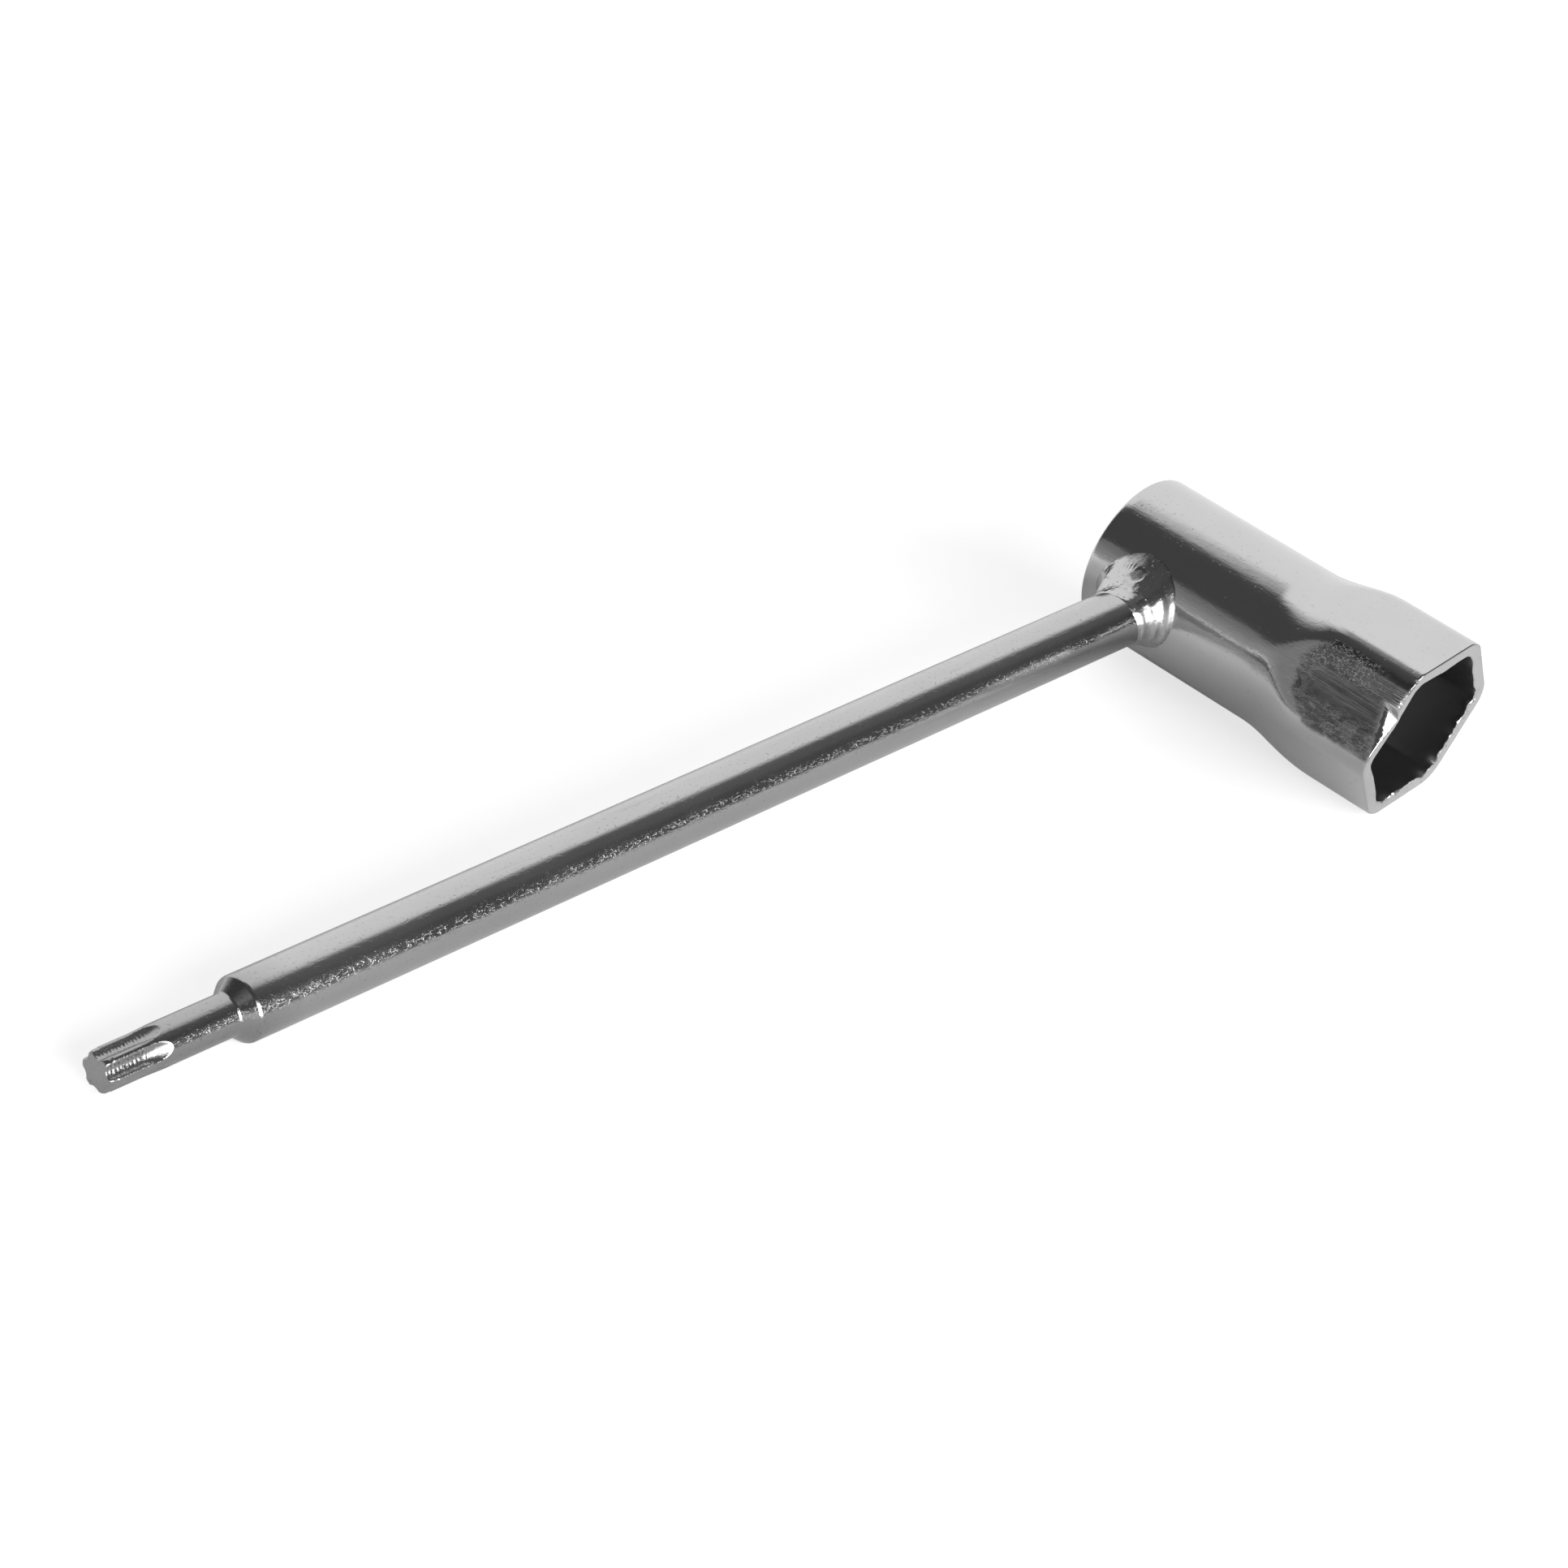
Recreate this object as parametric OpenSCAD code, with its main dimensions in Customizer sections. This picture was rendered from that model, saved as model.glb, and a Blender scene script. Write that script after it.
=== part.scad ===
// Spark plug wrench. A round steel bar with a star-drive tip is welded square to the side of
// a steel tube whose mouth is expanded into a hexagon socket and cut a little off square.
// Lengths are in millimetres and angles in degrees. The wrench lies on a bench: +Z is up, the
// socket axis runs along Y with its mouth facing -Y, and the bar runs towards -X with its tip
// on the bench. The origin is the point where the bar axis meets the socket axis.

/* [Drive rod] */
// Diameter of the round bar
rod_d = 7.9; // [7:0.1:9]
// Distance from the socket axis to the end of the tip
rod_reach = 183.5; // [120:0.1:240]
// Diameter of the shank that is turned down behind the tip
shank_d = 5.1; // [5.1:0.05:5.8]
// Length of the shank with the tip, from the foot of the shoulder to the end
shank_len = 17.5; // [14:0.1:40]
// Convex rounding at the top of the shoulder
shoulder_round = 1; // [0.5:0.1:2]
// Concave fillet at the foot of the shoulder
shank_fillet = 1.5; // [1:0.1:3]

/* [Star tip] */
// Size across opposite lobes of the star
star_d = 5.07; // [4.8:0.01:5.1]
// Size across opposite flutes of the star
star_root = 3.6; // [3.5:0.01:3.8]
// Radius of each rounded lobe
lobe_r = 0.46; // [0.42:0.01:0.5]
// Length over which the flutes are full depth
flute_len = 4.7; // [2:0.1:7]
// Radius on which the flutes run out to the surface of the shank
flute_runout_r = 10; // [6:0.5:20]
// Turn of the star about the bar axis, from a lobe on top
star_turn = 30; // [0:1:59]
// Chamfer on the end of the tip
tip_chamfer = 0.5; // [0.1:0.05:0.6]

/* [Socket tube] */
// Outside diameter of the tube
tube_d = 22.4; // [21.4:0.1:23.2]
// Wall of the tube
tube_wall = 1.9; // [1.2:0.05:2.5]
// Length of the tube along its axis, from the plain rear end to the mouth
tube_len = 49.2; // [42:0.1:80]
// Distance from the plain rear end to the axis of the bar
rod_to_rear = 9.4; // [7.5:0.1:12]
// Rounding of the outer edge at the rear end
edge_round = 0.5; // [0.1:0.05:0.8]
// Chamfer of the inner edge at the rear end
edge_chamfer = 0.4; // [0.1:0.05:0.8]
// Slant of the mouth, from square to the socket axis
mouth_slant = 5.5; // [0:0.5:8]
// Turn of the slant about the socket axis, from the bar's line to the longest side
slant_turn = 110; // [0:5:355]

/* [Hexagon] */
// Size across flats inside the hexagon
hex_af = 19.5; // [18:0.1:20.5]
// Wall of the hexagon at the flats
hex_wall = 2.05; // [1.4:0.05:2.4]
// Length of the full hexagon behind the mouth
hex_len = 10.3; // [8:0.1:12]
// Length over which the round tube flares into the hexagon
flare_len = 12.5; // [8:0.1:15]
// Radius of the inside corners of the hexagon
hex_inner_r = 1.6; // [0.8:0.1:2.5]
// Turn of the hexagon about the socket axis, from a corner in line with the bar
hex_turn = 4.5; // [0:0.5:30]

/* [Weld] */
// Reach of the weld along the tube, from the surface of the bar
weld_toe = 2.35; // [1.2:0.05:2.6]
// Reach of the weld along the bar, from the surface of the tube
weld_leg = 4.8; // [2:0.1:6]
// Hollowness of the bead, from straight at 1 to a deep sweep
weld_hollow = 2.6; // [1:0.1:3.5]
// Thickness of the lip that the bead ends with on the bar, as a share of its reach along the tube
weld_lip = 0.09; // [0.02:0.01:0.2]
// Number of ripples round the bead
ripple_count = 16; // [8:1:20]
// Height of the ripples
ripple_h = 0.12; // [0:0.01:0.25]
// Share by which the bead is larger on its full side, where it was stopped
weld_swell = 0.33; // [0:0.01:0.4]
// Turn of the full side about the bar axis, from the top towards the rear end
swell_turn = 20; // [0:5:355]

/* [Hidden] */
$fn = 96;

// How far a cutting shape runs past the surface that it cuts
overrun = 1;
// Steps along each rounded stretch of an outline
arc_steps = 6;
flare_steps = 10;
cutter_steps = 48;
steel = [0.76, 0.76, 0.77];

rod_r = rod_d / 2;
shank_r = shank_d / 2;
tube_r = tube_d / 2;
bore_r = tube_r - tube_wall;

// Places along the socket axis, counted from the bar axis towards the mouth
rear_at = -rod_to_rear;
mouth_at = tube_len - rod_to_rear;
hex_at = mouth_at - hex_len;
flare_at = hex_at - flare_len;

hex_outer_af = hex_af + 2 * hex_wall;
hex_outer_r = hex_inner_r + hex_wall;

// Distance from the axis to a rounded corner of a hexagon
function corner_reach(af, corner_r) = (af / 2 - corner_r) / cos(30) + corner_r;

// Points on an arc about a centre, from one angle to another
function arc(centre, radius, from, to, steps = arc_steps) =
    [for (i = [0:steps]) centre + radius * [cos(from + (to - from) * i / steps),
                                            sin(from + (to - from) * i / steps)]];

// A smooth step from 0 to 1
function ease(t) = (1 - cos(180 * t)) / 2;

// How far the socket reaches below its axis when the wrench is turned by an angle
function socket_depth(angle) =
    max([for (k = [0:5]) hex_outer_r - (hex_outer_af / 2 - hex_outer_r) / cos(30)
                                       * sin(60 * k + hex_turn + angle)]);

// How far the lobes of the star reach below the bar axis
function star_depth() =
    lobe_r + (star_d / 2 - lobe_r) * max([for (k = [0:5]) -cos(60 * k + star_turn)]);

// The angle at which the tip and the socket both touch the bench
function settle(angle, rounds = 8) =
    rounds == 0 ? angle
    : settle(asin((socket_depth(angle) - star_depth() * cos(angle)) / (rod_reach - tip_chamfer)),
             rounds - 1);

lay_angle = settle(0);

// Lays the wrench on the bench
module on_bench() {
    rotate([0, -lay_angle, 0]) children();
}

// Z runs along the bar, away from the socket, and X points up
module along_bar() {
    on_bench() rotate([0, -90, 0]) children();
}

// Z runs along the socket axis towards the mouth, and Y points up
module along_socket() {
    on_bench() rotate([90, 0, 0]) children();
}

// The space that the outside of the round tube takes, in the frame of the bar
module tube_space() {
    rotate([90, 0, 0]) cylinder(r = tube_r, h = 2 * tube_len, center = true);
}

// Star tip

// A flute's radius follows from the lobes that it joins smoothly
lobe_at = star_d / 2 - lobe_r;
flute_r = (lobe_at ^ 2 + star_root ^ 2 / 4 - lobe_at * cos(30) * star_root - lobe_r ^ 2)
          / (2 * lobe_r + 2 * lobe_at * cos(30) - star_root);
flute_at = star_root / 2 + flute_r;
lobe_sweep = atan2(flute_at * sin(30), flute_at * cos(30) - lobe_at);
flute_sweep = lobe_sweep - 30;
star_at = rod_reach - flute_len;

module star_outline() {
    polygon([for (k = [0:5])
        let (turn = 60 * k + star_turn)
        each concat(
            arc(lobe_at * [cos(turn), sin(turn)], lobe_r, turn - lobe_sweep, turn + lobe_sweep),
            arc(flute_at * [cos(turn + 30), sin(turn + 30)], flute_r,
                turn + 210 + flute_sweep, turn + 210 - flute_sweep))]);
}

// The end of one flute, where the cutter rises out of the shank on an arc
module flute_runout() {
    sweep = acos(1 - (shank_r + flute_r) / (flute_runout_r + flute_r));
    translate([flute_at + flute_runout_r, 0, star_at])
        rotate([90, 0, 0])
        rotate([0, 0, 180])
        rotate_extrude(angle = sweep)
        translate([flute_runout_r, 0]) circle(r = flute_r, $fn = cutter_steps);
}

module star_tip() {
    intersection() {
        translate([0, 0, star_at]) linear_extrude(flute_len) star_outline();
        rotate_extrude() polygon([
            [0, star_at],
            [shank_r, star_at],
            [shank_r, rod_reach - tip_chamfer - (shank_r - star_d / 2)],
            [star_d / 2 - tip_chamfer, rod_reach],
            [0, rod_reach]]);
    }
}

// Drive rod

// The rounding and the fillet of the shoulder run smoothly into each other
shoulder_turn = acos(1 - (rod_r - shank_r) / (shoulder_round + shank_fillet));
foot_at = rod_reach - shank_len;
shoulder_at = foot_at - (shoulder_round + shank_fillet) * sin(shoulder_turn);

module bar() {
    rotate_extrude() polygon(concat(
        [[0, 0], [rod_r, 0]],
        arc([rod_r - shoulder_round, shoulder_at], shoulder_round, 0, shoulder_turn),
        arc([shank_r + shank_fillet, foot_at], shank_fillet, 180 + shoulder_turn, 180),
        [[shank_r, star_at], [0, star_at]]));
}

module drive_rod() {
    color(steel) along_bar() {
        difference() {
            bar();
            tube_space();
            for (k = [0:5]) rotate([0, 0, 60 * k + 30 + star_turn]) flute_runout();
        }
        star_tip();
    }
}

// Hexagon socket

module hexagon(af, corner_r) {
    reach = (af / 2 - corner_r) / cos(30);
    polygon([for (k = [0:5])
        let (turn = 60 * k + hex_turn)
        each arc(reach * [cos(turn), sin(turn)], corner_r, turn - 30, turn + 30)]);
}

// The flare from the round tube to the corners of the hexagon, as an outline from flare_at up
function flare(from_r, to_r) =
    [for (i = [0:flare_steps])
        [from_r + (to_r - from_r) * ease(i / flare_steps), flare_at + flare_len * i / flare_steps]];

// How far the flare rises past the corners of the hexagon, so that it ends clear of them
flare_spare = 0.05;
// How far the blank of the socket runs past the middle of its slanted mouth
mouth_spare = corner_reach(hex_outer_af, hex_outer_r) * tan(mouth_slant) + overrun;
blank_end = mouth_at + mouth_spare;

// The space beyond the slanted mouth
module mouth_cut() {
    translate([0, 0, mouth_at])
        rotate([0, -mouth_slant, slant_turn])
        translate([-tube_d, -tube_d, 0])
        cube([2 * tube_d, 2 * tube_d, 2 * mouth_spare + overrun]);
}

// What the press leaves of a round shape: all of it up to flare_at, and a hexagon from there on
module pressed(af, corner_r) {
    intersection() {
        children();
        union() {
            translate([0, 0, rear_at - 2 * overrun])
                cylinder(r = tube_d, h = flare_at - rear_at + 2 * overrun);
            translate([0, 0, flare_at - overrun])
                linear_extrude(blank_end - flare_at + 3 * overrun) hexagon(af, corner_r);
        }
    }
}

module socket_outside() {
    corner = corner_reach(hex_outer_af, hex_outer_r) + flare_spare;
    pressed(hex_outer_af, hex_outer_r) rotate_extrude() polygon(concat(
        [[0, rear_at]],
        arc([tube_r - edge_round, rear_at + edge_round], edge_round, -90, 0),
        flare(tube_r, corner),
        [[corner, blank_end], [0, blank_end]]));
}

module socket_inside() {
    corner = corner_reach(hex_af, hex_inner_r) + flare_spare;
    pressed(hex_af, hex_inner_r) rotate_extrude() polygon(concat(
        [[0, rear_at - overrun],
         [bore_r + edge_chamfer + overrun, rear_at - overrun],
         [bore_r, rear_at + edge_chamfer]],
        flare(bore_r, corner),
        [[corner, blank_end + overrun], [0, blank_end + overrun]]));
}

module hex_socket() {
    color(steel) along_socket() difference() {
        socket_outside();
        socket_inside();
        mouth_cut();
    }
}

// Weld bead

weld_sections = 96;
bead_steps = 12;
foot_steps = 4;
// Gap that keeps the flat facets of the bead clear of the round bar and tube
weld_gap = 0.02;

// Height of the tube's surface in the frame of the bar, at a place beside the bar axis
function tube_top(x) = sqrt(tube_r ^ 2 - x ^ 2);

// Size of the bead at an angle round the bar, as a share of its mean size
function bead_share(angle) = 1 + weld_swell * cos(angle - swell_turn);

// How far the bead stands out from the bar, as a share, from the tube at 0 to its end at 1
function bead_fall(t) = (1 - weld_lip) * (1 - t) ^ weld_hollow + weld_lip * sqrt(1 - t ^ 4);

// One section of the bead: distance from the bar's surface and height above the tube
function bead_section(angle) =
    let (ripple = ripple_h * cos(ripple_count * angle),
         toe = weld_toe * bead_share(angle),
         leg = weld_leg * bead_share(angle) + ripple)
    concat(
        [for (i = [0:foot_steps - 1]) [toe * i / foot_steps, 0]],
        [for (i = [0:bead_steps]) [toe * bead_fall(i / bead_steps), leg * i / bead_steps]]);

module weld_bead() {
    rings = [for (s = [0:weld_sections - 1])
        let (angle = 360 * s / weld_sections)
        [for (p = bead_section(angle))
            let (reach = rod_r + weld_gap + p[0], x = reach * cos(angle), y = reach * sin(angle))
            [x, y, tube_top(x) + weld_gap + p[1]]]];
    per_ring = len(rings[0]);
    faces = [for (s = [0:weld_sections - 1], i = [0:per_ring - 1])
        let (a = s * per_ring, b = (s + 1) % weld_sections * per_ring, j = (i + 1) % per_ring)
        each [[a + i, a + j, b + j], [a + i, b + j, b + i]]];
    color(steel) along_bar() polyhedron([for (ring = rings) each ring], faces);
}

drive_rod();
hex_socket();
weld_bead();
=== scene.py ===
"""Spark plug wrench: a plated bar with a star tip, welded to a tubular hexagon socket."""
import math

import bmesh
import bpy
from mathutils import Matrix, Vector, noise


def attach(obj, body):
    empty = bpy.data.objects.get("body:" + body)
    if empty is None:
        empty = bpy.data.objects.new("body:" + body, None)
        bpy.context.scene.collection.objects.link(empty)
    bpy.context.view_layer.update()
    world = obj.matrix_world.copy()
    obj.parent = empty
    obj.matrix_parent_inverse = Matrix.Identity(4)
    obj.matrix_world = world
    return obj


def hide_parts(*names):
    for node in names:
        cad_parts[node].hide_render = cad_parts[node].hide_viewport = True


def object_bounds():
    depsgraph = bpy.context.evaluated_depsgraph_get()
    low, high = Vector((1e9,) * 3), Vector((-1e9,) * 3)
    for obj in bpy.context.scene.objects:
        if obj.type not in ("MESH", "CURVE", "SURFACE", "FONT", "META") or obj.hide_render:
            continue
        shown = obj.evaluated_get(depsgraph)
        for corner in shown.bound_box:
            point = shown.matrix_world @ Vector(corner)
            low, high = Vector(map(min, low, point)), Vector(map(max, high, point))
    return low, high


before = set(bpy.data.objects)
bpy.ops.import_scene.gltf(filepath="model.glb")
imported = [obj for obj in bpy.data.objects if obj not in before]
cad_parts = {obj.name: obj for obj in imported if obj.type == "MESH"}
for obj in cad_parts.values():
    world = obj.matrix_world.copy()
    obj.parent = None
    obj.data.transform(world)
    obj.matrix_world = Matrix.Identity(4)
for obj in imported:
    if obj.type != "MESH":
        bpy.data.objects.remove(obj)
cad_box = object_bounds()

# Sizes in millimetres. Most are those of the part's source. Here the bar starts plain under the
# weld, the shoulder has tighter rounds and a straight cone, the mouth's outer edge has a small
# round and the hexagon is a hair smaller outside.
BAR_R = 3.95
BAR_FOOT, BAR_END = 10.9, 183.5
SHANK_R = 2.55
SHANK_FOOT = BAR_END - 17.5
SHOULDER_ROUND, SHANK_FILLET = 0.8, 0.6
SHOULDER_CONE = math.radians(39)
STAR_R, STAR_ROOT_R, LOBE_R = 2.535, 1.8, 0.46
FLUTE_LEN, FLUTE_RUNOUT, TIP_CHAMFER = 4.7, 10.0, 0.5
STAR_TURN = math.radians(30)
TUBE_R, BORE_R = 11.2, 9.3
WALL = TUBE_R - BORE_R
TUBE_REAR, TUBE_MOUTH = 9.4, -39.8
REAR_ROUND, REAR_CHAMFER, RIM_ROUND = 0.5, 0.4, 0.18
HEX_FULL, FLARE_START = -29.5, -17.0
HEX_AF, HEX_CORNER = 23.56, 3.65
SOCKET_AF, SOCKET_CORNER = 19.5, 1.6
HEX_TURN = math.radians(4.5)
MOUTH_SLANT, SLANT_TURN = math.radians(5.5), math.radians(110)
WELD_TOE, WELD_LEG = 2.35, 4.8

# Angles of a six-sided shape
SIXTH, TWELFTH = math.pi / 3, math.pi / 6

# The wrench lies on the bench with its tip down
LAY = math.radians(3.1642)
ON_BENCH = Matrix.Rotation(-LAY, 4, "Y") @ Matrix.Scale(0.001, 4)


def ease(t):
    """A smooth step from 0 to 1."""
    t = min(1.0, max(0.0, t))
    return t * t * (3 - 2 * t)


def between(value, low, high, soft):
    """1 between two limits and 0 outside them, with soft limits."""
    return ease((value - low) / soft + 0.5) * ease((high - value) / soft + 0.5)


def soft_min(a, b, width):
    """The smaller value, with a round where the two are about the same."""
    h = max(width - abs(a - b), 0.0) / width
    return min(a, b) - h * h * width / 4


def hump(gap, wide):
    """1 in the middle, and falling to nothing on both sides."""
    return math.exp(-(gap / wide) ** 2)


def rough(x, y, z, size):
    """Smooth random value from about -1 to 1, with bumps of about that size."""
    return noise.noise(Vector((x / size, y / size, z / size)))


def spaced(first, last, count):
    """Even places from the first one on, without the last."""
    return [first + (last - first) * i / count for i in range(count)]


def degrees_from(turn, place):
    """How far a turn is past a place round the axis, from -180 to 180 degrees."""
    return (math.degrees(turn) - place + 180) % 360 - 180


def spun(outline, axis, steps):
    """A closed mesh from an open outline of points, turned once round an axis."""
    bm = bmesh.new()
    verts = [bm.verts.new(p) for p in outline]
    edges = [bm.edges.new(pair) for pair in zip(verts, verts[1:])]
    bmesh.ops.spin(bm, geom=verts + edges, cent=(0, 0, 0), axis=axis, angle=math.tau,
                   steps=steps, use_merge=True)
    bmesh.ops.remove_doubles(bm, verts=bm.verts[:], dist=1e-5)
    return bm


def wear_layers(bm, *names):
    """Attributes that tell a finish where each kind of wear is."""
    return [bm.verts.layers.float.new(name) for name in names]


def keep(bm, name, node, material, crease=34):
    """Turns a mesh in tool axes into a finished piece that stands for a CAD node."""
    bmesh.ops.transform(bm, matrix=ON_BENCH, verts=bm.verts[:])
    bmesh.ops.recalc_face_normals(bm, faces=bm.faces[:])
    for face in bm.faces:
        face.smooth = True
    for edge in bm.edges:
        edge.smooth = edge.calc_face_angle(0) < math.radians(crease)
    mesh = bpy.data.meshes.new(name)
    bm.to_mesh(mesh)
    bm.free()
    piece = bpy.data.objects.new(name, mesh)
    bpy.context.scene.collection.objects.link(piece)
    mesh.materials.append(material)
    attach(piece, "root")
    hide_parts(node)
    return piece


# Finishes

class Nodes:
    """A node tree, and short ways to add nodes to it."""

    def __init__(self, tree):
        self.tree = tree

    def add(self, kind, settings=None, **sockets):
        node = self.tree.nodes.new(kind)
        for key, value in (settings or {}).items():
            setattr(node, key, value)
        for key, value in sockets.items():
            self.put(node.inputs[key.replace("_", " ")], value)
        return node

    def put(self, socket, value):
        if isinstance(value, bpy.types.NodeSocket):
            self.tree.links.new(value, socket)
        else:
            socket.default_value = value

    def span(self, value, low, high, out_low=0.0, out_high=1.0):
        """A smooth step between two values."""
        return self.add("ShaderNodeMapRange", {"interpolation_type": "SMOOTHSTEP"}, Value=value,
                        From_Min=low, From_Max=high, To_Min=out_low, To_Max=out_high).outputs["Result"]

    def math(self, operation, a, b=0.0):
        node = self.tree.nodes.new("ShaderNodeMath")
        node.operation = operation
        self.put(node.inputs[0], a)
        self.put(node.inputs[1], b)
        return node.outputs[0]

    def times(self, a, b):
        return self.math("MULTIPLY", a, b)

    def weighted(self, *terms):
        """The sum of values, each with its weight."""
        total = None
        for value, weight in terms:
            part = self.times(value, weight)
            total = part if total is None else self.math("ADD", total, part)
        return total


class Finish(Nodes):
    """A metal, with patterns in the tool's own axes."""

    def __init__(self, name):
        self.material = bpy.data.materials.new(name)
        self.material.use_nodes = True
        super().__init__(self.material.node_tree)
        self.shader = self.tree.nodes["Principled BSDF"]
        self.shader.inputs["Metallic"].default_value = 1.0

    def place(self, stretch):
        """Object coordinates in the tool's own axes, stretched to suit a pattern."""
        where = self.add("ShaderNodeTexCoord").outputs["Object"]
        level = self.add("ShaderNodeMapping", Vector=where, Rotation=(0, LAY, 0))
        return self.add("ShaderNodeMapping", Vector=level.outputs["Vector"],
                        Scale=stretch).outputs["Vector"]

    def noise(self, stretch, detail=3.0, roughness=0.55, distortion=0.0):
        return self.add("ShaderNodeTexNoise", Vector=self.place(stretch), Scale=1.0, Detail=detail,
                        Roughness=roughness, Distortion=distortion).outputs["Fac"]

    def layer(self, name):
        return self.add("ShaderNodeAttribute", {"attribute_name": name}).outputs["Fac"]

    def grey(self, value):
        joined = self.add("ShaderNodeCombineColor")
        for socket in joined.inputs[:3]:
            self.put(socket, value)
        return joined.outputs["Color"]

    def bumps(self, *heights):
        """Each height comes with its depth in metres."""
        normal = None
        for height, depth in heights:
            node = self.add("ShaderNodeBump", Height=height, Distance=depth, Strength=1.0)
            if normal is not None:
                self.put(node.inputs["Normal"], normal)
            normal = node.outputs["Normal"]
        self.put(self.shader.inputs["Normal"], normal)

    def surface(self, shade, roughness):
        self.put(self.shader.inputs["Base Color"], self.grey(shade))
        self.put(self.shader.inputs["Roughness"], roughness)


def plated_bar():
    """Bright drawn bar: draw lines, fine pits and dashes, one scuffed side and milled flutes."""
    f = Finish("plated_bar")
    milled, turned, scuffed = f.layer("milled"), f.layer("turned"), f.layer("scuffed")
    draw_lines = f.noise((25, 2600, 2600), detail=2)
    pits = f.span(f.noise((2300, 2300, 2300), detail=2), 0.6, 0.72)
    dashes = f.span(f.noise((850, 3000, 3000), detail=3), 0.56, 0.68)
    peel = f.noise((420, 900, 900), detail=3)
    clouds = f.span(f.noise((60, 160, 160), detail=4), 0.3, 0.7)
    streaks = f.span(f.noise((35, 900, 900), detail=3, distortion=0.6), 0.62, 0.72)
    cutter_marks = f.noise((3200, 500, 500), detail=2)
    flecks = f.span(f.noise((1400, 3400, 3400), detail=3, distortion=0.5), 0.52, 0.64)
    nicks = f.span(f.noise((1500, 3100, 3100), detail=3), 0.6, 0.68)
    f.surface(
        f.weighted((clouds, 0.03), (streaks, -0.03), (pits, -0.1), (turned, -0.12), (1.0, 0.55)),
        f.weighted((clouds, 0.05), (streaks, 0.07), (pits, 0.1), (milled, 0.1), (1.0, 0.14)))
    f.bumps((draw_lines, 1.2e-6), (peel, 5e-6), (dashes, -4.5e-6), (f.times(turned, nicks), -4.5e-6),
            (pits, -4e-6), (f.times(scuffed, flecks), -1.7e-5), (f.times(milled, cutter_marks), 2.5e-5))
    return f.material


def plated_socket():
    """Bright tube with one worn flat, a cut rim with a ground edge, and a dark unplated inside."""
    f = Finish("plated_socket")
    worn, flecked, crackled, comb = [f.layer(key) for key in ("worn", "flecked", "crackled", "comb")]
    inside, dusty, rim = [f.layer(key) for key in ("inside", "dusty", "rim")]
    peel = f.noise((900, 420, 900), detail=4)
    streaks = f.noise((2300, 480, 2300), detail=3, distortion=0.4)
    pits = f.span(f.noise((1900, 1900, 1900), detail=2), 0.63, 0.74)
    clouds = f.noise((110, 110, 110), detail=4)
    dents = f.noise((620, 430, 620), detail=2)
    creases = f.noise((1150, 760, 1150), detail=2, roughness=0.6, distortion=1.8)
    creases = f.span(f.math("ABSOLUTE", f.math("SUBTRACT", creases, 0.5)), 0.0, 0.07)
    drags = f.span(f.noise((3000, 45, 3000), detail=2), 0.5, 0.66)
    flakes = f.noise((800, 560, 800), detail=3, roughness=0.6, distortion=0.7)
    flakes = f.times(crackled, f.span(flakes, 0.45, 0.55))
    smears = f.span(f.noise((420, 110, 420), detail=3), 0.42, 0.62)
    flecks = f.noise((4200, 2600, 4200), detail=2, distortion=1.0)
    flecks = f.times(flecked, f.span(flecks, 0.54, 0.64))
    teeth = f.times(comb, f.span(f.noise((3600, 60, 3600), detail=1), 0.5, 0.58))
    plain = f.weighted((f.span(clouds, 0.3, 0.7), 0.02), (pits, -0.08), (1.0, 0.63))
    dulled = f.weighted((1.0, 0.46), (smears, -0.12), (crackled, -0.1), (flakes, 0.22),
                        (flecks, 0.6), (drags, 0.12), (teeth, 1.6))
    shade = f.times(plain, f.weighted((1.0, 1.0), (worn, f.math("SUBTRACT", dulled, 1.0))))
    shade = f.times(shade, f.weighted((1.0, 1.0), (inside, -0.74), (rim, 0.25)))
    f.surface(shade, f.weighted((clouds, 0.04), (pits, 0.1), (worn, 0.06), (flecks, 0.15),
                                (inside, 0.3), (rim, 0.14), (1.0, 0.1)))
    f.put(f.shader.inputs["Metallic"], f.weighted((1.0, 1.0), (inside, -0.14), (dusty, -0.42)))
    f.bumps((peel, 5e-6), (streaks, 1.2e-5), (pits, -7e-6), (f.times(worn, dents), 3.2e-5),
            (f.times(crackled, creases), 1.8e-5), (flakes, 1.5e-5), (f.times(worn, drags), 8e-6),
            (flecks, 1.8e-5), (teeth, 4e-5),
            (f.times(rim, f.noise((1600, 1600, 1600), detail=3)), 2.5e-5))
    return f.material


def plated_weld():
    """Frozen weld metal under the plating: glassy, with fine wrinkles and small pits."""
    f = Finish("plated_weld")
    crater, ringed, toe_line = f.layer("crater"), f.layer("ringed"), f.layer("toe_line")
    wrinkles = f.noise((1100, 1100, 1100), detail=4, distortion=0.8)
    pits = f.span(f.noise((1700, 1700, 1700), detail=2), 0.62, 0.72)
    soot = f.span(f.noise((420, 420, 420), detail=4), 0.52, 0.7)
    # The ringed mask paints a sheen: it makes the bead's lower side paler in colour, and its added roughness
    # makes that side duller.
    f.surface(
        f.weighted((soot, -0.08), (pits, -0.2), (crater, -0.28), (ringed, 0.08),
                   (toe_line, -0.2), (1.0, 0.6)),
        f.weighted((soot, 0.1), (pits, 0.15), (crater, 0.1), (ringed, 0.24), (1.0, 0.1)))
    f.bumps((wrinkles, 2.0e-5), (pits, -1.5e-5))
    return f.material


# The bar

# The lobes' middle, and the flute's round that meets them
LOBE_AT = STAR_R - LOBE_R
FLUTE_R = ((LOBE_AT ** 2 + STAR_ROOT_R ** 2 - LOBE_R ** 2
            - 2 * LOBE_AT * math.cos(TWELFTH) * STAR_ROOT_R)
           / (2 * LOBE_R + 2 * LOBE_AT * math.cos(TWELFTH) - 2 * STAR_ROOT_R))
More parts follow.
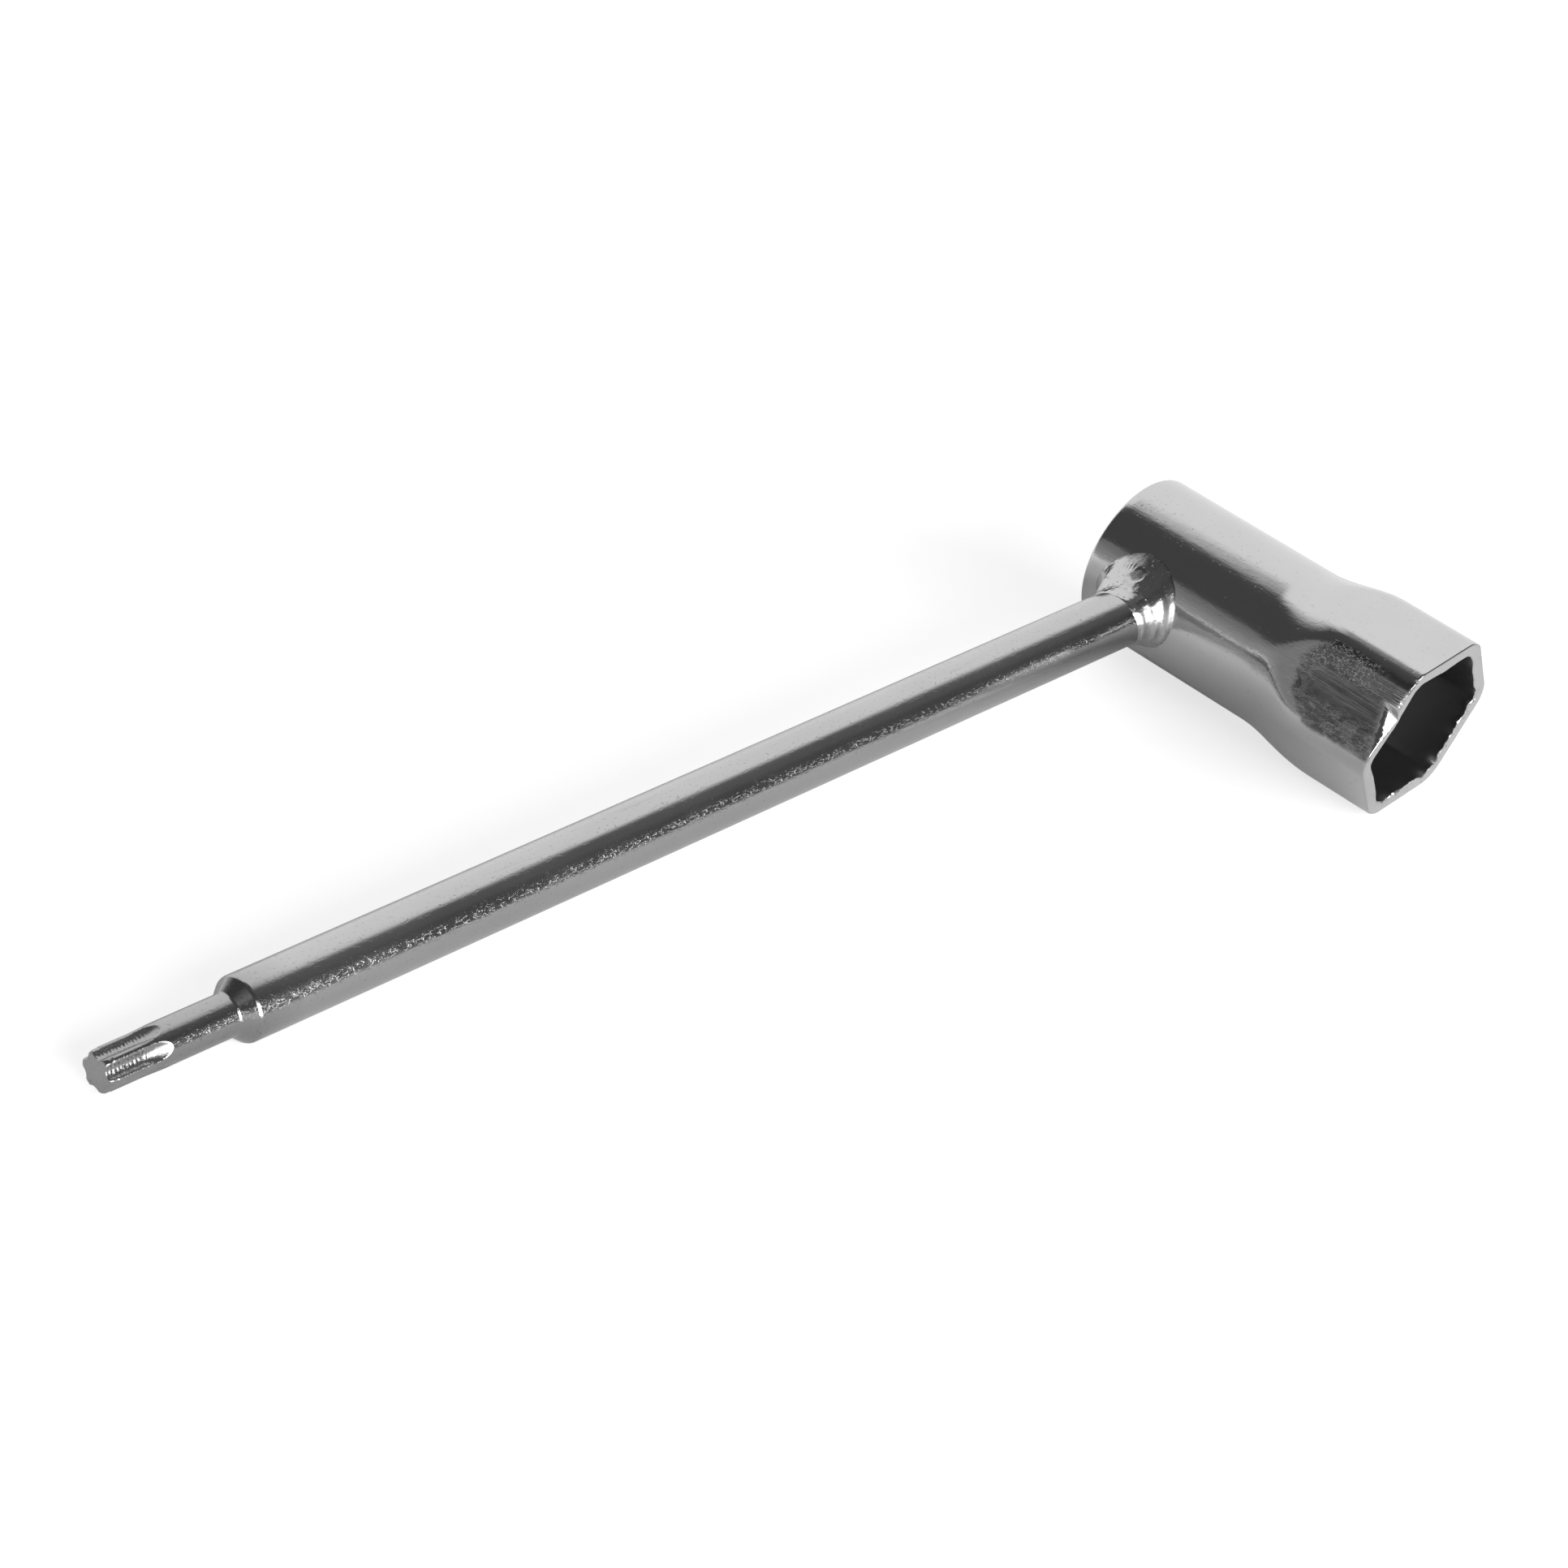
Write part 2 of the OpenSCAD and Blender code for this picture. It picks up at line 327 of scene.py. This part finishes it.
# The flutes widen as they run out, by this share for each millimetre, and end clear of the bar
RUNOUT_WIDENS, CLEAR_OF_BAR = 0.42, 9.0
# Length over which the lobes pass into the shank
LOBE_FADE = 2.5
# Steps that the cutter left in the flutes: their pitch, height and reach from the tip
CHATTER_PITCH, CHATTER_H, CHATTER_LEN = 0.44, 0.009, 7.5
# The rounded end of the tip, how softly it cuts the lobes, and where the milled part begins
TIP_ROUND = 1.3 * TIP_CHAMFER
TIP_ROUNDED_AT = BAR_END - TIP_ROUND
TIP_BLEND = 0.3
MILLED_FROM = BAR_END - FLUTE_LEN - 6.5
# Length of bar before the shoulder over which the turned finish begins
TURNED_LEN = 6
# The side of the bar that was scuffed, in degrees round it
SCUFF_TURN, SCUFF_WIDE = -61, 9


def star_reach(along, turn):
    """Distance from the bar axis to the star's surface."""
    run = max(0.0, BAR_END - FLUTE_LEN - along)
    lift = CLEAR_OF_BAR
    if run < FLUTE_RUNOUT:
        lift = FLUTE_RUNOUT - math.sqrt(FLUTE_RUNOUT ** 2 - run ** 2)
    off = (turn - STAR_TURN + TWELFTH) % SIXTH - TWELFTH
    lobe = SHANK_R
    if LOBE_AT * abs(math.sin(off)) < LOBE_R:
        lobe = LOBE_AT * math.cos(off) + math.sqrt(LOBE_R ** 2 - (LOBE_AT * math.sin(off)) ** 2)
    lobe += (SHANK_R - lobe) * ease(run / LOBE_FADE)
    side = TWELFTH - abs(off)
    sweep = FLUTE_R * (1 + RUNOUT_WIDENS * run)
    centre = STAR_ROOT_R + lift + sweep
    if centre * math.sin(side) >= sweep:
        return min(lobe, SHANK_R)
    flute = centre * math.cos(side) - math.sqrt(sweep ** 2 - (centre * math.sin(side)) ** 2)
    wave = math.sin(math.tau * along / CHATTER_PITCH + 4 * rough(along, turn * 2, 3, 1.2))
    chatter = CHATTER_H * (wave + 3 * rough(along, turn * 1.2, 3, 0.3))
    chatter *= ease((along - BAR_END + CHATTER_LEN) / 2)
    return min(lobe, flute + chatter, SHANK_R)


def lead_in(along):
    """The rounded end of the tip: the most that any part of it reaches from the axis."""
    t = max(0.0, (along - TIP_ROUNDED_AT) / TIP_ROUND)
    return STAR_R - TIP_CHAMFER * (1 - math.sqrt(max(0.0, 1 - 0.98 * t * t)))


def drive_bar():
    """The bar, its shoulder and shank, and the milled star on its end."""
    rounds = SHOULDER_ROUND + SHANK_FILLET
    cone = (BAR_R - SHANK_R - rounds * (1 - math.cos(SHOULDER_CONE))) / math.tan(SHOULDER_CONE)
    shoulder = SHANK_FOOT - rounds * math.sin(SHOULDER_CONE) - cone
    line = [(BAR_FOOT, 0.0)]
    line += [(along, BAR_R) for along in spaced(BAR_FOOT, shoulder, 24)]
    arc = [SHOULDER_CONE * i / 12 for i in range(13)]
    line += [(shoulder + SHOULDER_ROUND * math.sin(a), BAR_R - SHOULDER_ROUND * (1 - math.cos(a)))
             for a in arc]
    line += [(SHANK_FOOT - SHANK_FILLET * math.sin(a), SHANK_R + SHANK_FILLET * (1 - math.cos(a)))
             for a in reversed(arc)]
    line += [(along, SHANK_R) for along in spaced(MILLED_FROM, TIP_ROUNDED_AT, 120)]
    line += [(TIP_ROUNDED_AT + TIP_ROUND * math.sin(math.pi / 2 * i / 12), SHANK_R) for i in range(13)]
    line += [(BAR_END, SHANK_R * share) for share in (0.94, 0.85, 0.7, 0.45, 0.2, 0.0)]
    bm = spun([(-along, 0, reach) for along, reach in line], (1, 0, 0), 216)
    milled, turned, scuffed = wear_layers(bm, "milled", "turned", "scuffed")
    for vert in bm.verts:
        along, off = -vert.co.x, math.hypot(vert.co.y, vert.co.z)
        turn = math.atan2(vert.co.y, vert.co.z)
        vert[turned] = ease((along - shoulder + TURNED_LEN) / TURNED_LEN)
        vert[scuffed] = hump(degrees_from(turn, SCUFF_TURN), SCUFF_WIDE)
        if along > MILLED_FROM and off > 1e-4:
            reach = star_reach(along, turn)
            vert[milled] = ease((SHANK_R - reach) / 0.12)
            if along > TIP_ROUNDED_AT - 0.5:
                reach = soft_min(reach, lead_in(along), TIP_BLEND)
            vert.co.yz = vert.co.yz * (reach / SHANK_R)
    return keep(bm, "drive_bar", "drive_rod", plated_bar())


# The socket

# Nicks and burrs of the cut inner edge: place round the socket in degrees, how far the edge
# stands out from the plain hexagon (inwards below zero) and half the width in degrees
MOUTH_NICKS = ((345, -0.7, 2.6), (0, -0.8, 2.6), (356, -0.2, 3.0), (327, -0.18, 5.0), (311, 0.85, 2.6),
               (297, 0.68, 4.0), (253, 0.42, 5.0), (275, 0.18, 6.0), (238, 0.22, 6.0), (185, 0.3, 14.0),
               (155, -0.16, 6.0), (125, 0.22, 16.0), (95, -0.12, 6.0), (74, 0.14, 9.0), (52, 0.38, 8.0),
               (30, 0.18, 9.0), (12, 0.34, 4.0), (335, 0.15, 2.5))
# Small burrs on the face of the rim: where they begin and how far they go round, in degrees
BURRS_FROM, BURRS_SPAN = 240, 135
# The flat that was worn rough on the anvil: its middle, its two long edges measured across it
# from the middle, and where it begins along the socket
WORN_FLAT = HEX_TURN + math.radians(150)
WORN_TOP, WORN_FOOT, WORN_REAR = -5.9, 5.7, -24.9
# Its flecked strip across the flat, and where the flecks and the cracks fade out at the mouth
FLECKS_TOP, FLECKS_FOOT, FLECKS_END, CRACKS_END = -6.0, -2.2, -39, -42
# The patch ground off that flat at the mouth: its upper end, width, slope and taper
GROUND_FROM, GROUND_WIDE, GROUND_LEAN, GROUND_TAPER = -2.1, 0.92, 1.02, 0.27
# Strokes and chips beside the patch, in degrees round the socket
COMB_FROM, COMB_TO = 134, 148
CHIPS_FROM, CHIPS_TO = 124, 132
# How far behind the mouth the grinding and the nicks go
GROUND_LEN, NICKED_LEN = 2.2, 1.8
# How dusty each inside wall is, counted round from the worn flat
INSIDE_DUST = (0.3, 0.3, 0.05, 1.0, 0.15, 0.3)
# How much the mesh is crowded towards the worn flat, and the least wall that the wear leaves
CROWDED, LEAST_WALL = 0.3, 0.45
# Width of the round between the flare and the hexagon
FLARE_BLEND = 0.3


def hexagon_reach(turn, across, corner):
    """Distance from the axis to a rounded hexagon, corners at HEX_TURN and every 60 degrees."""
    off = abs((turn - HEX_TURN) % SIXTH - TWELFTH)
    flat = across / 2
    if flat * math.tan(off) <= (flat - corner) * math.tan(TWELFTH):
        return flat / math.cos(off)
    centre, side = (flat - corner) / math.cos(TWELFTH), TWELFTH - off
    return centre * math.cos(side) + math.sqrt(max(0.0, corner ** 2 - (centre * math.sin(side)) ** 2))


def pressed_reach(y, turn, round_r, across, corner):
    """Distance from the axis to a tube that is pressed out to a hexagon."""
    if y >= FLARE_START:
        return round_r
    corner_r = (across / 2 - corner) / math.cos(TWELFTH) + corner
    t = min(1.0, max(0.0, (FLARE_START - y) / (FLARE_START - HEX_FULL)))
    flare = round_r + (corner_r - round_r) * (1 - math.cos(math.pi * t)) / 2
    return soft_min(flare, hexagon_reach(turn, across, corner), FLARE_BLEND)


def nicked(turn):
    """How far the mouth's inner edge stands out from the plain hexagon."""
    edge = 0.06 * rough(turn * 9, 0, 7, 0.5) + 0.05 * rough(turn * 9, 3, 1, 0.2)
    for place, stand, wide in MOUTH_NICKS:
        edge += stand * hump(degrees_from(turn, place), wide)
    return edge


def ground_off(across, depth, degrees):
    """How much is ground, stroked or chipped off the worn flat near the mouth."""
    patch = GROUND_LEAN * (GROUND_WIDE - depth) - GROUND_TAPER * (across - 1.3)
    patch += 0.05 * rough(across, depth, 6, 0.4)
    patch = soft_min(patch, 1.6 * (across - GROUND_FROM), 0.5)
    comb = 0.4 * between(degrees, COMB_FROM, COMB_TO, 4.0) * (1 + 0.5 * rough(across, 1, 1, 0.4))
    chips = between(degrees, CHIPS_FROM, CHIPS_TO, 2.0) * max(0.0, rough(across, 2, 2, 0.35))
    return max(0.0, -soft_min(-patch, 0.0, 0.8), comb - depth, chips - depth)


def socket_outline():
    """Places along the socket, each with its share of the wall: 0 is inside and 1 outside."""
    fine, fine_inside = TUBE_MOUTH + 2.1, TUBE_MOUTH + 2.4
    plain, rear_inside = TUBE_REAR - 1.4, TUBE_REAR - REAR_CHAMFER
    line = [(rear_inside, 0.0), (TUBE_REAR - 0.1, 0.12), (TUBE_REAR, 0.22), (TUBE_REAR, 0.5)]
    line += [(TUBE_REAR - REAR_ROUND * (1 - math.cos(a)), 1 - REAR_ROUND * (1 - math.sin(a)) / WALL)
             for a in [math.pi / 2 * i / 6 for i in range(7)]]
    line += [(y, 1.0) for y in spaced(plain, FLARE_START, 26) + spaced(FLARE_START, fine, 66)
             + spaced(fine, TUBE_MOUTH + RIM_ROUND, 12) + [TUBE_MOUTH + RIM_ROUND]]
    line += [(TUBE_MOUTH + RIM_ROUND * (1 - math.sin(a)), 1 - RIM_ROUND * (1 - math.cos(a)) / WALL)
             for a in [math.pi / 2 * i / 4 for i in range(1, 5)]]
    line += [(TUBE_MOUTH, share) for share in (0.8, 0.65, 0.5, 0.36, 0.24, 0.17, 0.1)]
    line += [(TUBE_MOUTH + depth, 0.0) for depth in (0.12, 0.17, 0.25, 0.4, 0.6, 0.85, 1.2, 1.7)]
    line += [(y, 0.0) for y in spaced(fine_inside, FLARE_START, 34)
             + spaced(FLARE_START, rear_inside, 12) + [rear_inside]]
    return line


def hex_socket():
    """The tube: round and open at the rear, pressed out to a hexagon at the slanted mouth."""
    bm = spun([(0, y, BORE_R + WALL * share) for y, share in socket_outline()], (0, 1, 0), 400)
    worn_at, flecked, crackled, comb, inside_at, dusty, rim = wear_layers(
        bm, "worn", "flecked", "crackled", "comb", "inside", "dusty", "rim")
    for vert in bm.verts:
        y, share = vert.co.y, (math.hypot(vert.co.x, vert.co.z) - BORE_R) / WALL
        turn = math.atan2(vert.co.z, vert.co.x)
        turn -= CROWDED * math.sin(turn - WORN_FLAT)
        degrees, depth = math.degrees(turn) % 360, y - TUBE_MOUTH
        outer = pressed_reach(y, turn, TUBE_R, HEX_AF, HEX_CORNER)
        inner = pressed_reach(y, turn, BORE_R, SOCKET_AF, SOCKET_CORNER)

        # Wear of the flat, by the place across it from its upper edge down
        across = -outer * math.sin(WORN_FLAT - turn)
        facing = math.cos(turn - WORN_FLAT) > 0.5
        ground = ground_off(across, depth, degrees) if facing and depth < GROUND_LEN else 0.0
        worn = 0.0
        if facing and share > 0.7:
            uneven = rough(across, y, 2, 1.3) + 0.6 * rough(across, y, 5, 0.5)
            begins = WORN_REAR - 0.12 * across - 0.11 * across * across
            worn = between(across + 0.2 * uneven, WORN_TOP, WORN_FOOT, 0.6)
            worn *= ease((begins - y + 0.5 * uneven) / 1.1)
            clear = ease(1 - ground / 0.2)
            dents = 0.012 * rough(across, y * 0.6, 9, 0.5) + 0.02 * rough(across, y * 0.5, 4, 1.1)
            outer += worn * (clear * dents - 0.02)
            worn *= clear
        outer -= ground

        # Wear of the mouth
        if depth < NICKED_LEN and share < 0.75:
            edge = nicked(turn)
            fade = math.exp(-(max(0.0, depth) / (0.75 if edge > 0 else 0.4)) ** 1.5)
            inner = min(inner + edge * fade, outer - LEAST_WALL)
        reach = inner + (outer - inner) * share
        x, z = reach * math.cos(turn), reach * math.sin(turn)
        if depth < 0.3 and share < 0.6:
            burrs = between((degrees - BURRS_FROM) % 360, 0, BURRS_SPAN, 12) * ease((0.6 - share) / 0.3)
            y -= burrs * (0.16 * rough(x, z, 3, 0.45) + 0.1 * rough(x, z, 8, 0.2))
        slanted = min(1.0, max(0.0, (HEX_FULL - y) / (HEX_FULL - TUBE_MOUTH)))
        y -= slanted * math.tan(MOUTH_SLANT) * (x * math.cos(SLANT_TURN) + z * math.sin(SLANT_TURN))
        vert.co = (x, y, z)

        inside = ease((0.12 - share) / 0.1) * ease((depth + 0.1) / 0.5)
        dust = INSIDE_DUST[round((turn - WORN_FLAT) / SIXTH) % 6]
        vert[worn_at] = worn
        vert[inside_at] = inside
        vert[dusty] = inside * dust * ease((depth - 0.5) / 9) * ease((FLARE_START - 2 - y) / 8)
        vert[rim] = ease((0.3 - depth) / 0.25) * ease((0.95 - share) / 0.08)
        vert[flecked] = worn * between(across, FLECKS_TOP, FLECKS_FOOT, 0.9) * ease((y - FLECKS_END) / 5)
        cracks = max(ease((across - 0.5) / 2.5), ease((y - HEX_FULL) / 2.5))
        vert[crackled] = worn * cracks * ease((y - CRACKS_END) / 4)
        vert[comb] = (between(degrees, COMB_FROM, COMB_TO, 3.0) * ease((1.9 - depth) / 0.9)
                      * ease((share - 0.8) / 0.1))
    return keep(bm, "socket_tube", "hex_socket", plated_socket())


# The weld

# Marks on the bead: turn round the bar in degrees, place from the tube at 0 to its end at 1,
# size round and along the bar in millimetres, and height in millimetres
BEAD_MARKS = ((350, 0.22, 0.35, 0.3, 0.05), (324, 0.06, 0.4, 0.3, 0.06), (19, 0.2, 0.17, 0.4, -0.05),
              (24, 0.2, 0.17, 0.45, -0.05), (29, 0.21, 0.17, 0.45, -0.05), (34, 0.22, 0.17, 0.4, -0.05),
              (39, 0.24, 0.2, 0.3, -0.05), (50, 0.3, 0.9, 0.16, -0.02),
              (306, 0.53, 1.2, 0.3, -0.07), (338, 0.35, 0.6, 0.5, 0.04),
              (330, 0.6, 0.5, 0.4, 0.04), (344, 0.62, 0.4, 0.6, -0.04), (318, 0.3, 0.5, 0.4, 0.04))
# The dish where the weld was stopped
CRATER_TURN, CRATER_AT, CRATER_R, CRATER_DEPTH = 8, 0.29, 0.95, 0.045
# Rings down the bead's lower side: where each one crests and half its width, and their height
BEAD_RINGS = ((0.11, 0.45), (0.39, 0.5), (0.8, 0.6))
RINGS_TURN, RING_H = 280, 0.17
# The middle of the lower side, where a painted sheen makes the colour paler, and whose surface is duller
# than the rest
PAINTED_SHEEN_TURN = 276
# The bead's full side
FULL_TURN, FULL_H = 58, 0.45
# The bead's hollow sweep: its power, how that changes round the bar, and the share of the blunt lip
HOLLOW, HOLLOW_SWING, LIP = 2.217, 0.633, 0.05
# A scoop in the sweep: turn and half its width in degrees, place and half its length, and depth
SCOOP_TURN, SCOOP_WIDE, SCOOP_AT, SCOOP_LONG, SCOOP_DEPTH = 19, 29.4, 0.41, 0.25, 0.07
# How much fuller the sweep is outside the scoop
SWEEP_FULL = 0.017
# How the bead's reach along the tube and the bar swells towards one side, and its fuller edge
TOE_SWELL, TOE_TURN = 0.36, math.radians(20)
LEG_SWELL, LEG_TURN = 0.31, math.radians(25)
EDGE_FULL, EDGE_TURN, EDGE_WIDE = 0.4, 82, 22
# About how far the bead's surface is from the bar's axis, and how long it is
BEAD_R, BEAD_LEN = 5.8, 6.0
# How deep the bead goes into the bar and the tube
BITE = 0.35


def bead_gap(turn, t, at_turn, at_t):
    """How far a place on the bead is from another, round the bar and along it in millimetres."""
    around = (turn - math.radians(at_turn) + math.pi) % math.tau - math.pi
    return around * BEAD_R, (t - at_t) * BEAD_LEN


def crater_gap(turn, t):
    """How far a place on the bead is from the middle of the crater."""
    around, along = bead_gap(turn, t, CRATER_TURN, CRATER_AT)
    return math.hypot(0.9 * around, 1.35 * along)


def bead_relief(turn, t):
    """Height of the frozen metal over the plain sweep of the bead, in millimetres."""
    x, y, z = math.cos(turn) * BEAD_R, math.sin(turn) * BEAD_R, t * BEAD_LEN
    height = 0.035 * rough(x, y, z, 1.5) + 0.018 * rough(x, y, z, 0.6)
    for at_turn, at_t, long, wide, stand in BEAD_MARKS:
        around, along = bead_gap(turn, t, at_turn, at_t)
        height += stand * hump(around, long) * hump(along, wide)
    height -= CRATER_DEPTH * ease((CRATER_R * 1.12 - crater_gap(turn, t)) / (0.26 * CRATER_R))
    below = ease((44 - abs(degrees_from(turn, RINGS_TURN))) / 26)
    for at_t, wide in BEAD_RINGS:
        height += RING_H * hump((t - at_t) * BEAD_LEN, wide) * below
    height += FULL_H * hump(degrees_from(turn, FULL_TURN), 24) * math.sin(math.pi * t ** 0.8) ** 2
    return height * ease(t / 0.08) * ease((1 - t) / 0.06)


def bead_stand(turn, t):
    """How far the bead stands out from the bar, as a share of its reach along the tube."""
    hollow = HOLLOW + HOLLOW_SWING * math.cos(turn)
    scoop = SCOOP_DEPTH * hump(degrees_from(turn, SCOOP_TURN), SCOOP_WIDE) * hump(t - SCOOP_AT, SCOOP_LONG)
    sweep = (1 - LIP) * (1 - t) ** hollow + LIP * math.sqrt(1 - t ** 4)
    return sweep - (scoop - SWEEP_FULL) * math.sin(math.pi * t)


def weld_bead():
    """The bead between the bar and the tube: a hollow sweep with a stop crater, and ringed below."""
    steps = 72
    places = [(1 - math.cos(math.pi * i / steps)) / 2 for i in range(steps + 1)]
    line = [(TUBE_R + WELD_LEG * t, BAR_R + WELD_TOE) for t in places]
    line += [(TUBE_R + WELD_LEG, BAR_R - BITE), (TUBE_R, BAR_R - BITE),
             (TUBE_R - BITE, BAR_R + WELD_TOE * 0.6)]
    bm = spun([(-along, 0, reach) for along, reach in line + line[:1]], (1, 0, 0), 400)
    crater, ringed, toe_line = wear_layers(bm, "crater", "ringed", "toe_line")
    for vert in bm.verts:
        up, reach = -vert.co.x - TUBE_R, math.hypot(vert.co.y, vert.co.z)
        turn = math.atan2(vert.co.y, vert.co.z)
        wander = 0.03 * rough(math.cos(turn) * 6, math.sin(turn) * 6, 2, 0.9)
        toe = WELD_TOE * (1 + TOE_SWELL * math.cos(turn - TOE_TURN) + wander)
        toe += EDGE_FULL * hump(degrees_from(turn, EDGE_TURN), EDGE_WIDE)
        leg = WELD_LEG * (1 + LEG_SWELL * math.cos(turn - LEG_TURN) - wander)
        t = min(1.0, max(0.0, up / WELD_LEG))
        if reach > BAR_R + 0.99 * WELD_TOE:
            relief = bead_relief(turn, t)
            reach = BAR_R + toe * max(0.0, bead_stand(turn, t)) + 0.8 * relief
            up = leg * t + 0.6 * relief
            vert[crater] = ease((CRATER_R - crater_gap(turn, t)) / (0.3 * CRATER_R))
            vert[toe_line] = ease((0.035 + 0.04 * rough(turn * 6, t, 4, 0.5) - t) / 0.03)
            # The paler colour on this side is a painted sheen; the extra roughness is its duller surface.
            vert[ringed] = ease((56 - abs(degrees_from(turn, PAINTED_SHEEN_TURN))) / 30)
        elif reach < BAR_R:
            up = leg * t - BITE * t
        z, y = reach * math.cos(turn), reach * math.sin(turn)
        vert.co = (-(math.sqrt(max(0.0, TUBE_R ** 2 - z ** 2)) + up), y, z)
    return keep(bm, "weld_metal", "weld_bead", plated_weld(), crease=60)


# Stage

def studio_floor(level):
    """A pale bench top: white to the camera, and with a painted glow in what the metal mirrors, which is
    brighter towards the backdrop.
    """
    bm = bmesh.new()
    bmesh.ops.create_grid(bm, x_segments=1, y_segments=1, size=4.0)
    bmesh.ops.translate(bm, verts=bm.verts[:], vec=(0, 0, level))
    mesh = bpy.data.meshes.new("bench_top")
    bm.to_mesh(mesh)
    bm.free()
    bench = bpy.data.objects.new("bench_top", mesh)
    bpy.context.scene.collection.objects.link(bench)
    f = Finish("bench_paper")
    paper = f.shader.inputs
    paper["Metallic"].default_value = 0.0
    paper["Base Color"].default_value = (0.8, 0.8, 0.8, 1)
    paper["Roughness"].default_value = 0.9
    paper["Specular IOR Level"].default_value = 0.0
    paper["Emission Color"].default_value = (1, 1, 1, 1)
    ray = f.add("ShaderNodeLightPath").outputs
    where = f.add("ShaderNodeTexCoord").outputs["Object"]
    part = f.add("ShaderNodeSeparateXYZ", Vector=where).outputs
    # Painted light: the bench glows only in the metal's reflections, more towards the backdrop, towards the
    # mouth and along the bar.
    far = f.span(f.weighted((part["X"], 0.35), (part["Y"], 1.0)), 0.01, 0.08, 0.02, 0.33)
    near = f.span(f.weighted((part["X"], 1.0), (part["Y"], -0.9)), 0.0, 0.03, 0.0, 0.14)
    left = f.span(part["X"], -0.02, -0.04, 0.0, 0.08)
    painted_glow = f.math("ADD", left, f.math("ADD", far, near))
    white = 0.64
    f.put(paper["Emission Strength"],
          f.weighted((ray["Is Camera Ray"], white), (ray["Is Transmission Ray"], white),
                     (ray["Is Glossy Ray"], painted_glow)))
    mesh.materials.append(f.material)


def studio_world():
    """A white backdrop behind the wrench, a soft box beside the camera, and a dark room between them."""
    world = bpy.data.worlds.new("studio")
    bpy.context.scene.world = world
    world.use_nodes = True
    f = Nodes(world.node_tree)
    ray = f.add("ShaderNodeTexCoord").outputs["Generated"]
    part = f.add("ShaderNodeSeparateXYZ", Vector=ray).outputs
    rise = f.math("ARCSINE", part["Z"])
    heading = f.math("ARCTAN2", part["Y"], part["X"])

    def beside(direction):
        """Angle from a direction round the room."""
        away = f.math("WRAP", f.math("SUBTRACT", heading, math.radians(direction)), math.pi)
        away.node.inputs[2].default_value = -math.pi
        return f.math("ABSOLUTE", away)

    def within(value, middle, half, soft):
        gap = f.math("ABSOLUTE", f.math("SUBTRACT", value, math.radians(middle)))
        return f.span(gap, math.radians(half + soft), math.radians(half - soft))

    def fading(value, dark, bright):
        return f.span(value, math.radians(dark), math.radians(bright))

    backdrop = f.times(fading(beside(47.5), 62, 40), fading(rise, 68, 57))
    ceiling = fading(rise, 55, 75)
    box = f.times(within(beside(266.5), 0, 28.5, 2.5), within(rise, 19.5, 18.5, 2))
    panel = f.times(within(beside(216), 0, 22, 4), within(rise, 3, 6, 3))
    haze_top = f.weighted((rise, 1.0), (beside(150), 0.5))
    haze = f.times(within(beside(142), 0, 24, 7), fading(haze_top, 26, 20))
    fill = f.times(within(beside(183), 0, 22, 6), fading(rise, 55, 38))
    low = f.times(within(beside(145), 0, 35, 8), fading(rise, 18, 0))
    side = f.times(within(beside(334), 0, 18, 8), fading(rise, 28, 42))
    studio = f.weighted((1.0, 0.07), (backdrop, 0.88), (ceiling, 0.03), (box, 5.0), (panel, 0.6),
                        (haze, 0.15), (fill, 0.28), (low, 0.15), (side, 0.06))
    seen = f.add("ShaderNodeLightPath").outputs["Is Camera Ray"]
    unseen = f.math("SUBTRACT", 1.0, seen)
    background = world.node_tree.nodes["Background"].inputs
    f.put(background["Strength"], f.math("ADD", f.times(unseen, studio), seen))
    background["Color"].default_value = (1, 1, 1, 1)


def photo_camera():
    """The photograph's own viewpoint, found from the outline of the wrench."""
    place = Vector((-0.437987, -0.267812, 0.262793))
    heading, rise, roll = math.radians(-143.39552), math.radians(31.00489), math.radians(-13.50922)
    back = Vector((math.cos(rise) * math.cos(heading), math.cos(rise) * math.sin(heading), math.sin(rise)))
    level = (-back).cross(Vector((0, 0, 1))).normalized()
    down = (-back).cross(level)
    right = math.cos(roll) * level + math.sin(roll) * down
    up = math.sin(roll) * level - math.cos(roll) * down
    camera = bpy.data.objects.new("camera", bpy.data.cameras.new("camera"))
    bpy.context.scene.collection.objects.link(camera)
    camera.matrix_world = Matrix.Translation(place) @ Matrix((right, up, back)).transposed().to_4x4()
    camera.data.sensor_width = 36
    camera.data.lens = 99.173
    camera.data.clip_start = 0.01
    bpy.context.scene.camera = camera


photo_camera()
drive_bar()
hex_socket()
weld_bead()
studio_floor(cad_box[0][2])
studio_world()
bpy.context.scene.view_settings.view_transform = "Standard"
